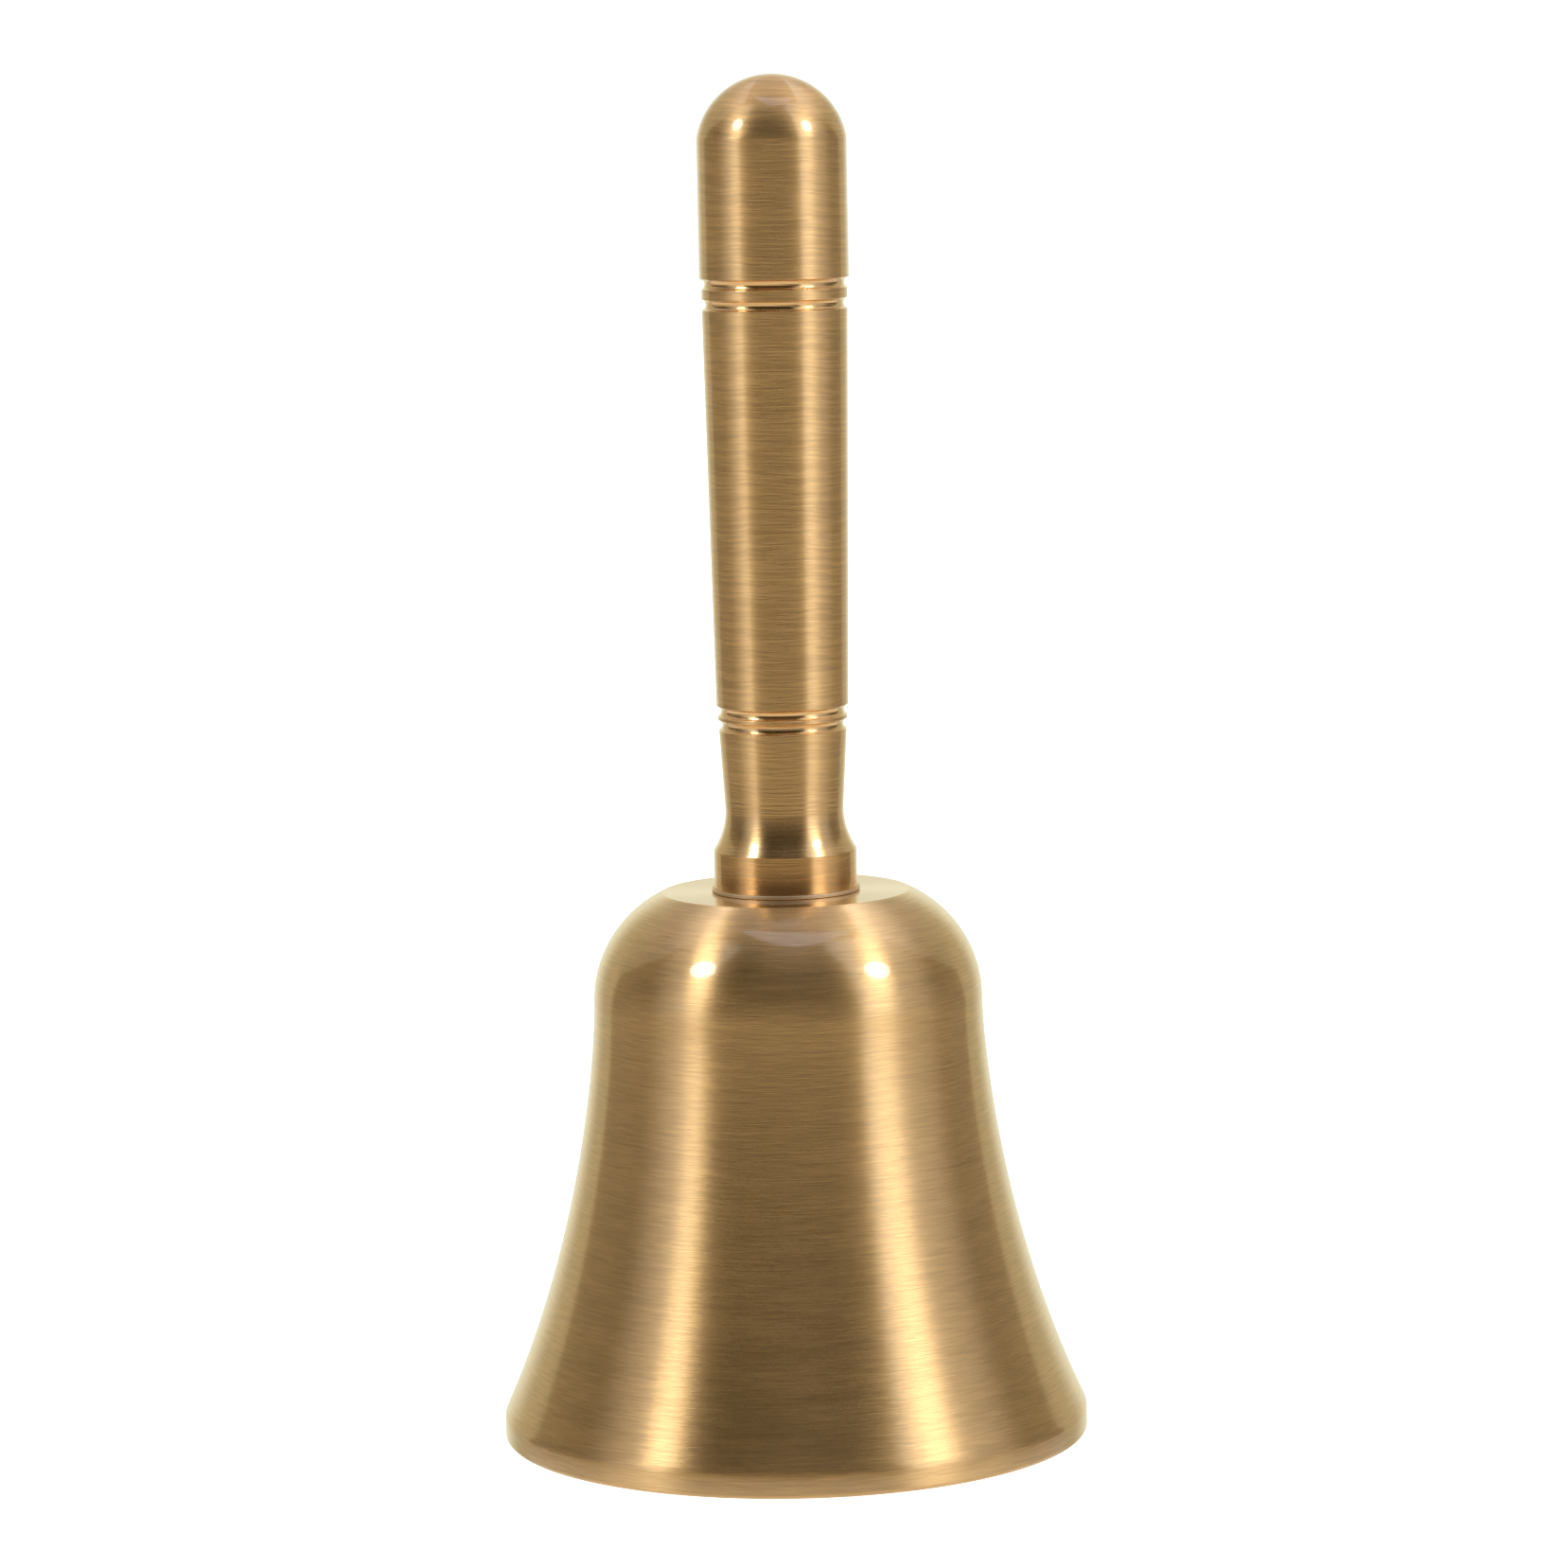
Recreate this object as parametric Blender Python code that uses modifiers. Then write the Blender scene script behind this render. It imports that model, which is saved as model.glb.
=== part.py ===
"""A brass hand bell: a turned handle bolted to a flared bell, with a ball clapper hung inside it.

The bell stands on its mouth. The origin is the centre of the mouth rim, and +Z is the bell's axis.
"""

import math

import bpy
from mathutils import Vector

MM = 0.001
GAP = 0.3 * MM  # left between pieces that touch
OVERLAP = 0.5 * MM  # how far joined shapes and cutters run into each other

# Driving dimensions
TOTAL_HEIGHT = 130.0 * MM
BELL_HEIGHT = 52.6 * MM
STUD_RADIUS = 2.5 * MM  # an M5 stud holds the bell, the handle and the clapper together

# Bell shell, outside
SHOULDER_CENTRE = (7.2 * MM, 42.18 * MM)
SHOULDER_RADIUS = 11.4 * MM
LIP_RADIUS = 28.07 * MM
LIP_TOP = 2.8 * MM
LIP_TURN_RADIUS = 1.9 * MM
LIP_FILLET = 0.5 * MM
FLARE_ANGLE = math.radians(24.6)  # from the vertical, where the flare meets the lip
FLARE_REACH_TOP = 3.5 * MM
FLARE_REACH_BOTTOM = 19.4 * MM

# Bell shell, inside
WAIST_WALL = 2.2 * MM
LIP_WALL = 2.9 * MM
CROWN_WALL = 3.2 * MM
LIP_CHAMFER = 0.6 * MM

# Handle
FOOT_RADIUS = 6.83 * MM
FOOT_HEIGHT = 3.0 * MM
NECK_RADIUS = 5.64 * MM
NECK_BOTTOM = 60.5 * MM
NECK_TOP_RADIUS = 6.09 * MM
SWEEP_RADIUS = 6.9 * MM
SWEEP_ANGLE = math.radians(29.0)
LOWER_GROOVES = (68.62 * MM, 69.94 * MM)
LOWER_LAND_RADIUS = 6.18 * MM
GRIP_BOTTOM_RADIUS = 6.29 * MM
GRIP_TOP_RADIUS = 6.9 * MM
UPPER_GROOVES = (108.5 * MM, 110.43 * MM)
KNOB_RADIUS = 7.05 * MM
DOME_RADIUS = 7.16 * MM
GROOVE_RADIUS = 0.55 * MM
GROOVE_DEPTH = 0.36 * MM
TAPPED_DEPTH = 16.0 * MM

# Washers and nut on the stud
CROWN_WASHER_RADIUS = 7.05 * MM
CROWN_WASHER_THICKNESS = 0.35 * MM
FLAT_WASHER_RADIUS = 5.0 * MM
FLAT_WASHER_THICKNESS = 1.0 * MM
SPRING_WASHER_RADIUS = 4.4 * MM
SPRING_WASHER_THICKNESS = 1.2 * MM
SPRING_WASHER_SLIT = 1.0 * MM
NUT_ACROSS_FLATS = 8.0 * MM
NUT_HEIGHT = 4.0 * MM

# Hanger eye, link and clapper
EYE_RING_RADIUS = 2.9 * MM  # to the middle of the wire
EYE_WIRE_RADIUS = 1.1 * MM
LINK_RING_RADIUS = 3.6 * MM
LINK_WIRE_RADIUS = 0.8 * MM
CLAPPER_EYE_RING_RADIUS = 2.5 * MM
CLAPPER_WIRE_RADIUS = 1.0 * MM
CLAPPER_ROD_RADIUS = 1.2 * MM
BALL_RADIUS = 7.0 * MM
BALL_CENTRE = 10.0 * MM
BALL_BORE_DEPTH = 8.0 * MM

# Facets round each kind of piece
BELL_FACETS = 48
HANDLE_FACETS = 36
SMALL_FACETS = 24
WIRE_FACETS = 10

# Heights that follow from the sizes above
CROWN_WASHER_BOTTOM = BELL_HEIGHT + GAP
FOOT_BOTTOM = CROWN_WASHER_BOTTOM + CROWN_WASHER_THICKNESS + GAP
CROWN_UNDERSIDE = BELL_HEIGHT - CROWN_WALL
FLAT_WASHER_TOP = CROWN_UNDERSIDE - GAP
SPRING_WASHER_TOP = FLAT_WASHER_TOP - FLAT_WASHER_THICKNESS - GAP
NUT_TOP = SPRING_WASHER_TOP - SPRING_WASHER_THICKNESS - GAP
NUT_BOTTOM = NUT_TOP - NUT_HEIGHT
BORE_RADIUS = STUD_RADIUS + GAP
EYE_CENTRE = NUT_BOTTOM - 1.0 * MM - EYE_RING_RADIUS - EYE_WIRE_RADIUS
LINK_PIVOT = EYE_CENTRE - EYE_RING_RADIUS + EYE_WIRE_RADIUS + GAP + LINK_WIRE_RADIUS
LINK_CENTRE = LINK_PIVOT - LINK_RING_RADIUS
LINK_BOTTOM = LINK_CENTRE - LINK_RING_RADIUS
CLAPPER_PIVOT = LINK_BOTTOM + LINK_WIRE_RADIUS + GAP + CLAPPER_WIRE_RADIUS
CLAPPER_EYE_CENTRE = CLAPPER_PIVOT - CLAPPER_EYE_RING_RADIUS


# Scene helpers


def clear_scene():
    for obj in list(bpy.data.objects):
        bpy.data.objects.remove(obj)


def new_collection(name):
    collection = bpy.data.collections.new(name)
    bpy.context.scene.collection.children.link(collection)
    return collection


def metal(name, colour, roughness):
    material = bpy.data.materials.new(name)
    material.use_nodes = True
    shader = material.node_tree.nodes["Principled BSDF"]
    shader.inputs["Base Color"].default_value = (*colour, 1.0)
    shader.inputs["Metallic"].default_value = 1.0
    shader.inputs["Roughness"].default_value = roughness
    return material


def keep(obj, name, collection, material=None):
    """Names an object, puts it in its collection and gives it its material."""
    obj.name = name
    obj.data.name = name
    for owner in list(obj.users_collection):
        owner.objects.unlink(obj)
    collection.objects.link(obj)
    if material:
        obj.data.materials.append(material)
    return obj


def as_cutter(obj):
    obj.hide_render = True
    obj.display_type = "WIRE"
    return obj


def boolean(obj, other, operation):
    modifier = obj.modifiers.new(other.name, "BOOLEAN")
    modifier.operation = operation
    modifier.object = other
    return obj


# Outline helpers: every outline is a list of (radius, height) points


def arc(centre, radius, start, end, steps):
    """Points on an arc, by angle from the outward direction, in degrees."""
    points = []
    for i in range(steps + 1):
        angle = math.radians(start + (end - start) * i / steps)
        points.append((centre[0] + radius * math.cos(angle), centre[1] + radius * math.sin(angle)))
    return points


def bezier(start, pull_start, pull_end, end, steps):
    """Points on a cubic curve, leaving out its first."""
    corners = [Vector(p) for p in (start, pull_start, pull_end, end)]
    points = []
    for i in range(1, steps + 1):
        t = i / steps
        weights = ((1 - t) ** 3, 3 * t * (1 - t) ** 2, 3 * t * t * (1 - t), t**3)
        point = sum((w * c for w, c in zip(weights, corners)), Vector((0.0, 0.0)))
        points.append((point.x, point.y))
    return points


def turned(name, outline, facets, collection, material=None, closed=False):
    """Turns an outline round +Z. It runs down the outer side, and a closed one comes back up the bore."""
    mesh = bpy.data.meshes.new(name)
    edges = [(i, i + 1) for i in range(len(outline) - 1)]
    if closed:
        edges.append((len(outline) - 1, 0))
    mesh.from_pydata([(r, 0.0, z) for r, z in outline], edges, [])
    obj = keep(bpy.data.objects.new(name, mesh), name, collection, material)
    screw = obj.modifiers.new("Turn", "SCREW")
    screw.axis = "Z"
    screw.angle = math.tau
    screw.steps = facets
    screw.render_steps = facets
    screw.use_merge_vertices = True
    screw.merge_threshold = 0.00001
    screw.use_smooth_shade = True
    return obj


def ring(name, outer, inner, bottom, top, collection, material=None):
    """A flat ring, such as a washer."""
    outline = [(outer, top), (outer, bottom), (inner, bottom), (inner, top)]
    return turned(name, outline, SMALL_FACETS, collection, material, closed=True)


def wire_ring(name, centre, ring_radius, wire_radius, turn, collection, material=None):
    """A round wire bent into a closed ring that stands on edge. Turn is about +Z."""
    bpy.ops.mesh.primitive_torus_add(
        major_segments=SMALL_FACETS,
        minor_segments=WIRE_FACETS,
        major_radius=ring_radius,
        minor_radius=wire_radius,
        location=(0.0, 0.0, centre),
        rotation=(math.pi / 2, 0.0, turn),
    )
    return keep(bpy.context.object, name, collection, material)


# Bell


def shoulder_angle(radius, height):
    """Where the shoulder's arc reaches a height, in degrees."""
    return math.degrees(math.asin((height - SHOULDER_CENTRE[1]) / radius))


def bell_outside():
    """From the bore in the crown, over the shoulder and down the flare to the rim."""
    start = shoulder_angle(SHOULDER_RADIUS, BELL_HEIGHT)
    points = [(BORE_RADIUS, BELL_HEIGHT)]
    points += arc(SHOULDER_CENTRE, SHOULDER_RADIUS, start, 0.0, 9)
    waist = points[-1]
    turn_drop = LIP_TURN_RADIUS * math.sin(FLARE_ANGLE)
    turn_reach = LIP_TURN_RADIUS * (1 - math.cos(FLARE_ANGLE))
    flare_end = (LIP_RADIUS - turn_reach, LIP_TOP)
    pull_top = (waist[0], waist[1] - FLARE_REACH_TOP)
    pull_bottom = (
        flare_end[0] - FLARE_REACH_BOTTOM * math.sin(FLARE_ANGLE),
        flare_end[1] + FLARE_REACH_BOTTOM * math.cos(FLARE_ANGLE),
    )
    points += bezier(waist, pull_top, pull_bottom, flare_end, 12)
    turn_centre = (LIP_RADIUS - LIP_TURN_RADIUS, LIP_TOP - turn_drop)
    points += arc(turn_centre, LIP_TURN_RADIUS, math.degrees(FLARE_ANGLE), 0.0, 2)[1:]
    fillet_centre = (LIP_RADIUS - LIP_FILLET, LIP_FILLET)
    points += arc(fillet_centre, LIP_FILLET, 0.0, -90.0, 3)
    return points


def bell_inside():
    """From the rim, up the inner wall and over to the bore."""
    rim = LIP_RADIUS - LIP_WALL
    mouth = (rim - LIP_CHAMFER * 0.5, LIP_CHAMFER * 2)
    inner_radius = SHOULDER_RADIUS - WAIST_WALL
    waist = (SHOULDER_CENTRE[0] + inner_radius, SHOULDER_CENTRE[1])
    pull_bottom = (
        mouth[0] - FLARE_REACH_BOTTOM * math.sin(FLARE_ANGLE) * 0.95,
        mouth[1] + FLARE_REACH_BOTTOM * math.cos(FLARE_ANGLE),
    )
    pull_top = (waist[0], waist[1] - FLARE_REACH_TOP)
    points = [(rim, 0.0), mouth]
    points += bezier(mouth, pull_bottom, pull_top, waist, 10)
    end = shoulder_angle(inner_radius, CROWN_UNDERSIDE)
    points += arc(SHOULDER_CENTRE, inner_radius, 0.0, end, 5)[1:]
    points.append((BORE_RADIUS, CROWN_UNDERSIDE))
    return points


def make_bell_shell(parts, brass):
    turned("bell_shell", bell_outside() + bell_inside(), BELL_FACETS, parts, brass, closed=True)


# Handle


def groove(centre, radius_above, radius_below):
    """A round-bottomed groove, from its upper edge to its lower one."""
    radius = (radius_above + radius_below) / 2
    middle = (radius - GROOVE_DEPTH + GROOVE_RADIUS, centre)
    reach = math.degrees(math.acos(1 - GROOVE_DEPTH / GROOVE_RADIUS))
    points = arc(middle, GROOVE_RADIUS, 180.0 - reach, 180.0 + reach, 4)
    points[0] = (radius_above, points[0][1])
    points[-1] = (radius_below, points[-1][1])
    return points


def handle_outline():
    """From the top of the dome down to the foot, and back up the tapped hole."""
    dome_centre = (0.0, TOTAL_HEIGHT - DOME_RADIUS)
    dome_end = math.degrees(math.acos(KNOB_RADIUS / DOME_RADIUS))
    points = [(0.0, TOTAL_HEIGHT)]
    points += arc(dome_centre, DOME_RADIUS, 90.0, dome_end, 8)[1:]
    points += groove(UPPER_GROOVES[1], KNOB_RADIUS, GRIP_TOP_RADIUS)
    points += groove(UPPER_GROOVES[0], GRIP_TOP_RADIUS, GRIP_TOP_RADIUS)
    points += groove(LOWER_GROOVES[1], GRIP_BOTTOM_RADIUS, LOWER_LAND_RADIUS)
    points += groove(LOWER_GROOVES[0], LOWER_LAND_RADIUS, NECK_TOP_RADIUS)
    sweep_centre = (NECK_RADIUS + SWEEP_RADIUS, NECK_BOTTOM)
    points += arc(sweep_centre, SWEEP_RADIUS, 180.0, 180.0 + math.degrees(SWEEP_ANGLE), 5)
    points.append((FOOT_RADIUS, FOOT_BOTTOM + FOOT_HEIGHT))
    points.append((FOOT_RADIUS, FOOT_BOTTOM))
    points.append((BORE_RADIUS, FOOT_BOTTOM))
    points.append((BORE_RADIUS, FOOT_BOTTOM + TAPPED_DEPTH))
    drill_point = BORE_RADIUS / math.tan(math.radians(59.0))
    points.append((0.0, FOOT_BOTTOM + TAPPED_DEPTH + drill_point))
    return points


def make_handle(parts, brass):
    turned("handle", handle_outline(), HANDLE_FACETS, parts, brass)


# Fasteners


def make_washers(parts, cutters, brass, steel):
    washer_top = CROWN_WASHER_BOTTOM + CROWN_WASHER_THICKNESS
    ring("crown_washer", CROWN_WASHER_RADIUS, BORE_RADIUS, CROWN_WASHER_BOTTOM, washer_top, parts, brass)
    flat_bottom = FLAT_WASHER_TOP - FLAT_WASHER_THICKNESS
    ring("flat_washer", FLAT_WASHER_RADIUS, BORE_RADIUS, flat_bottom, FLAT_WASHER_TOP, parts, steel)
    spring_bottom = SPRING_WASHER_TOP - SPRING_WASHER_THICKNESS
    spring = ring(
        "spring_washer", SPRING_WASHER_RADIUS, BORE_RADIUS, spring_bottom, SPRING_WASHER_TOP, parts, steel
    )
    bpy.ops.mesh.primitive_cube_add(
        size=1.0,
        location=(SPRING_WASHER_RADIUS, 0.0, (spring_bottom + SPRING_WASHER_TOP) / 2),
        scale=(SPRING_WASHER_RADIUS * 1.2, SPRING_WASHER_SLIT, SPRING_WASHER_THICKNESS * 2),
    )
    slit = as_cutter(keep(bpy.context.object, "spring_washer_slit", cutters))
    boolean(spring, slit, "DIFFERENCE")


def make_clamp_nut(parts, cutters, steel):
    """A hexagon nut with its corners turned off at 30 degrees."""
    corner_radius = NUT_ACROSS_FLATS / 2 / math.cos(math.pi / 6)
    bpy.ops.mesh.primitive_cylinder_add(
        vertices=6,
        radius=corner_radius,
        depth=NUT_HEIGHT,
        location=(0.0, 0.0, NUT_TOP - NUT_HEIGHT / 2),
        rotation=(0.0, 0.0, math.pi / SMALL_FACETS),
    )
    nut = keep(bpy.context.object, "clamp_nut", parts, steel)
    face_radius = NUT_ACROSS_FLATS / 2 * 0.95
    rise = (corner_radius + OVERLAP - face_radius) * math.tan(math.pi / 6)
    chamfer = turned(
        "nut_chamfer",
        [
            (BORE_RADIUS, NUT_TOP + OVERLAP),
            (face_radius, NUT_TOP + OVERLAP),
            (face_radius, NUT_TOP),
            (corner_radius + OVERLAP, NUT_TOP - rise),
            (corner_radius + OVERLAP, NUT_BOTTOM + rise),
            (face_radius, NUT_BOTTOM),
            (face_radius, NUT_BOTTOM - OVERLAP),
            (BORE_RADIUS, NUT_BOTTOM - OVERLAP),
        ],
        SMALL_FACETS,
        cutters,
        closed=True,
    )
    boolean(nut, as_cutter(chamfer), "INTERSECT")


# Hanger, link and clapper


def make_hanger_stud(parts, cutters, steel):
    """The stud that clamps the bell to the handle, with an eye on its lower end."""
    top = FOOT_BOTTOM + TAPPED_DEPTH - 1.5 * MM
    bottom = EYE_CENTRE + EYE_RING_RADIUS - EYE_WIRE_RADIUS * 0.6
    chamfer = 0.5 * MM
    outline = [
        (0.0, top),
        (STUD_RADIUS - chamfer, top),
        (STUD_RADIUS, top - chamfer),
        (STUD_RADIUS, NUT_BOTTOM - chamfer),
        (EYE_WIRE_RADIUS, bottom),
        (0.0, bottom),
    ]
    stud = turned("hanger_stud", outline, SMALL_FACETS, parts, steel)
    eye = wire_ring("stud_eye", EYE_CENTRE, EYE_RING_RADIUS, EYE_WIRE_RADIUS, 0.0, cutters)
    boolean(stud, as_cutter(eye), "UNION")


def make_hanger_link(parts, steel):
    """The wire ring between the two eyes, with its origin on the axis that it swings about."""
    link = wire_ring(
        "hanger_link", LINK_CENTRE, LINK_RING_RADIUS, LINK_WIRE_RADIUS, math.pi / 2, parts, steel
    )
    bpy.context.scene.cursor.location = (0.0, 0.0, LINK_PIVOT)
    bpy.ops.object.select_all(action="DESELECT")
    link.select_set(True)
    bpy.context.view_layer.objects.active = link
    bpy.ops.object.origin_set(type="ORIGIN_CURSOR")


def make_clapper(parts, cutters, brass):
    """The rod with its eye, and the ball screwed on the rod."""
    pivot = bpy.data.objects.new("clapper_pivot", None)
    parts.objects.link(pivot)
    pivot.location = (0.0, 0.0, CLAPPER_PIVOT)

    rod_top = CLAPPER_EYE_CENTRE - CLAPPER_EYE_RING_RADIUS + CLAPPER_WIRE_RADIUS * 0.4
    ball_top = BALL_CENTRE + BALL_RADIUS
    rod_bottom = ball_top - BALL_BORE_DEPTH + GAP
    rod_outline = [
        (0.0, rod_top),
        (CLAPPER_WIRE_RADIUS * 0.9, rod_top),
        (CLAPPER_ROD_RADIUS, rod_top - 2.0 * MM),
        (CLAPPER_ROD_RADIUS, rod_bottom),
        (0.0, rod_bottom),
    ]
    rod = turned("clapper_rod", rod_outline, SMALL_FACETS, parts, brass)
    eye = wire_ring(
        "clapper_eye", CLAPPER_EYE_CENTRE, CLAPPER_EYE_RING_RADIUS, CLAPPER_WIRE_RADIUS, 0.0, cutters
    )
    boolean(rod, as_cutter(eye), "UNION")

    bore = CLAPPER_ROD_RADIUS + GAP
    mouth = math.degrees(math.acos(bore / BALL_RADIUS))
    ball_outline = arc((0.0, BALL_CENTRE), BALL_RADIUS, mouth, -90.0, 14)
    ball_outline[-1] = (0.0, BALL_CENTRE - BALL_RADIUS)
    ball_outline = [(0.0, ball_top - BALL_BORE_DEPTH), (bore, ball_top - BALL_BORE_DEPTH)] + ball_outline
    ball = turned("clapper_ball", ball_outline, SMALL_FACETS, parts, brass)

    for piece in (rod, ball):
        piece.parent = pivot
        piece.matrix_parent_inverse = pivot.matrix_basis.inverted()


def main():
    clear_scene()
    parts = new_collection("hand_bell")
    cutters = new_collection("cutters")
    brass = metal("brushed_brass", (0.62, 0.42, 0.19), 0.3)
    ball_brass = metal("clapper_brass", (0.66, 0.47, 0.2), 0.25)
    steel = metal("plated_steel", (0.62, 0.62, 0.6), 0.3)
    make_bell_shell(parts, brass)
    make_handle(parts, brass)
    make_washers(parts, cutters, brass, steel)
    make_clamp_nut(parts, cutters, steel)
    make_hanger_stud(parts, cutters, steel)
    make_hanger_link(parts, steel)
    make_clapper(parts, cutters, ball_brass)


main()
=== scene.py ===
"""The looks of a turned brass hand bell: its surfaces, its brushed brass and a plain stage."""

import math

import bmesh
import bpy
from bpy.props import FloatProperty, FloatVectorProperty, IntProperty, PointerProperty
from bpy.types import Operator, Panel, PropertyGroup
from mathutils import Matrix, Vector


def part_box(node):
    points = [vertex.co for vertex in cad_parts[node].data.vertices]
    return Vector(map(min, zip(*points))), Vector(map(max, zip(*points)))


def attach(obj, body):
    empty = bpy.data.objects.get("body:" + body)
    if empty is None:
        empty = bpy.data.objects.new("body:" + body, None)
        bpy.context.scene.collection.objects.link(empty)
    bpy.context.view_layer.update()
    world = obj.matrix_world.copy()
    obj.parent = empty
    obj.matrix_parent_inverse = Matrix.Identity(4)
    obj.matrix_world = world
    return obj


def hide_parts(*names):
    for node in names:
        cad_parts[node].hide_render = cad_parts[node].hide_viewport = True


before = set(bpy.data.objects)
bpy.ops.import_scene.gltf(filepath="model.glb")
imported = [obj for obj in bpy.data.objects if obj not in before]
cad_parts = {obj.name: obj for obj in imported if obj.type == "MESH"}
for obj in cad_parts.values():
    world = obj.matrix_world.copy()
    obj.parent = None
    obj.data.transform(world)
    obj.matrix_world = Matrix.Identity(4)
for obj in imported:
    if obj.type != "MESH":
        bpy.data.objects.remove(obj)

bl_info = {
    "name": "Hand Bell",
    "version": (1, 0, 0),
    "blender": (4, 5, 0),
    "location": "View3D > Sidebar > Hand Bell",
    "description": "Makes the surfaces, finishes and stage of a turned brass hand bell",
    "category": "Add Mesh",
}

MM = 0.001
MERGE = 1e-6
SOFT_TURN = math.radians(9.0)  # a corner sharper than this is rounded
CREASE = math.radians(32.0)  # faces that meet at more than this show an edge
FOOT_DROP = 0.55 * MM  # the drawing's gaps between foot, crown washer and crown
WASHER_DROP = 0.27 * MM  # the gap between crown washer and crown
CROWN_POLISH = 0.75
SWEEP_POLISH = 0.45
FOOT_POLISH = 0.35
POLISH_FADE = 0.4 * MM  # how far inside the crown's edge its polish starts to fade
GROOVE_FADE = 0.05 * MM  # over which a groove's polish fades out
DOME_STEPS = 4  # bands over the dome, each with less direction in its brushing
DOME_BANDS = (0.75, 0.1)  # where the bands start and end, in dome radii below the top
DRILL_POINT = math.radians(59.0)  # half the angle of the tapped hole's pointed end
BALL_FACETS = 96
WASHER_FACETS = 96
SPLIT_FACETS = 90
NUT_FACETS = 72
ROD_FACETS = 48
THREAD_FACETS = 36
WIRE_FACETS = 20
EYE_FACETS = 72
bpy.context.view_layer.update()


def top_of(node):
    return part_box(node)[1].z


def bottom_of(node):
    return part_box(node)[0].z


def reach_of(node):
    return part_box(node)[1].x


# Sizes and colours that a user would change


def length(name, description, default):
    return FloatProperty(name=name, description=description, default=default, unit="LENGTH", precision=5)


def angle(name, description, degrees):
    default = math.radians(degrees)
    return FloatProperty(name=name, description=description, default=default, unit="ROTATION")


def number(name, description, default):
    return FloatProperty(name=name, description=description, default=default)


def colour(name, description, default):
    text = {"name": name, "description": description}
    return FloatVectorProperty(**text, default=default, subtype="COLOR", size=3)


class BellSizes(PropertyGroup):
    crown_height: length("Crown height", "Height of the crown's flat top", top_of("bell_shell"))
    lip_radius: length("Lip radius", "Largest radius, at the lip", reach_of("bell_shell"))
    shoulder_out: length("Shoulder centre", "Distance of the shoulder arc's centre from the axis", 7.2 * MM)
    shoulder_up: length("Shoulder height", "Height of the shoulder arc's centre", 42.18 * MM)
    shoulder_radius: length("Shoulder radius", "Radius of the shoulder arc", 11.4 * MM)
    flare_pull_top: length("Upper pull", "How far the flare runs straight down from the shoulder", 3.5 * MM)
    flare_pull_bottom: length("Lower pull", "How far the flare runs straight up from the lip", 19.4 * MM)
    flare_angle: angle("Flare angle", "Angle from the vertical where the flare meets the lip", 24.6)
    lip_top: length("Lip top", "Height where the flare ends and the lip turns down", 2.8 * MM)
    lip_turn: length("Lip turn", "Radius of the turn from flare to lip", 1.9 * MM)
    edge: length("Rim edge", "Rounding of the rim's outer edge", 0.5 * MM)
    waist_wall: length("Waist wall", "Wall thickness at the waist", 2.2 * MM)
    lip_wall: length("Lip wall", "Wall thickness at the rim", 2.9 * MM)
    crown_wall: length("Crown wall", "Wall thickness of the crown", 3.2 * MM)
    bore: length("Bore radius", "Radius of the hole for the stud", 2.8 * MM)
    facets: IntProperty(name="Facets", description="Facets round the bell", default=192)


class HandleSizes(PropertyGroup):
    top: length("Top", "Height of the top of the dome", top_of("handle"))
    bottom: length("Bottom", "Height of the underside of the foot", bottom_of("handle") - FOOT_DROP)
    dome_radius: length("Dome radius", "Radius of the round end", 7.16 * MM)
    knob_radius: length("Knob radius", "Radius below the dome", reach_of("handle"))
    grip_top: length("Grip top radius", "Radius at the top of the tapered grip", 6.9 * MM)
    grip_bottom: length("Grip bottom radius", "Radius at the bottom of the tapered grip", 6.29 * MM)
    lower_land: length("Lower land radius", "Radius between the lower grooves", 6.18 * MM)
    neck_top: length("Neck top radius", "Radius below the lower grooves", 6.09 * MM)
    neck: length("Neck radius", "Smallest radius of the neck", 5.64 * MM)
    neck_height: length("Neck height", "Height where the neck starts to sweep out", 60.5 * MM)
    sweep: length("Sweep radius", "Radius of the sweep from neck to foot", 6.9 * MM)
    sweep_angle: angle("Sweep angle", "How far the sweep turns", 29.0)
    foot_radius: length("Foot radius", "Radius of the foot", 6.83 * MM)
    foot_height: length("Foot height", "Height of the foot's straight side", 3.0 * MM + FOOT_DROP)
    groove_radius: length("Groove radius", "Radius of a groove's round bottom", 0.55 * MM)
    groove_depth: length("Groove depth", "Depth of a groove", 0.36 * MM)
    upper_groove: length("Upper groove", "Height of the upper pair's higher groove", 110.43 * MM)
    upper_pitch: length("Upper pitch", "Spacing of the upper pair of grooves", 1.93 * MM)
    lower_groove: length("Lower groove", "Height of the lower pair's higher groove", 69.94 * MM)
    lower_pitch: length("Lower pitch", "Spacing of the lower pair of grooves", 1.32 * MM)
    hole_radius: length("Hole radius", "Radius of the tapped hole", 2.8 * MM)
    hole_depth: length("Hole depth", "Depth of the tapped hole", 16.0 * MM + FOOT_DROP)
    edge: length("Edge", "Rounding of the turned edges", 0.14 * MM)
    facets: IntProperty(name="Facets", description="Facets round the handle", default=192)


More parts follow.
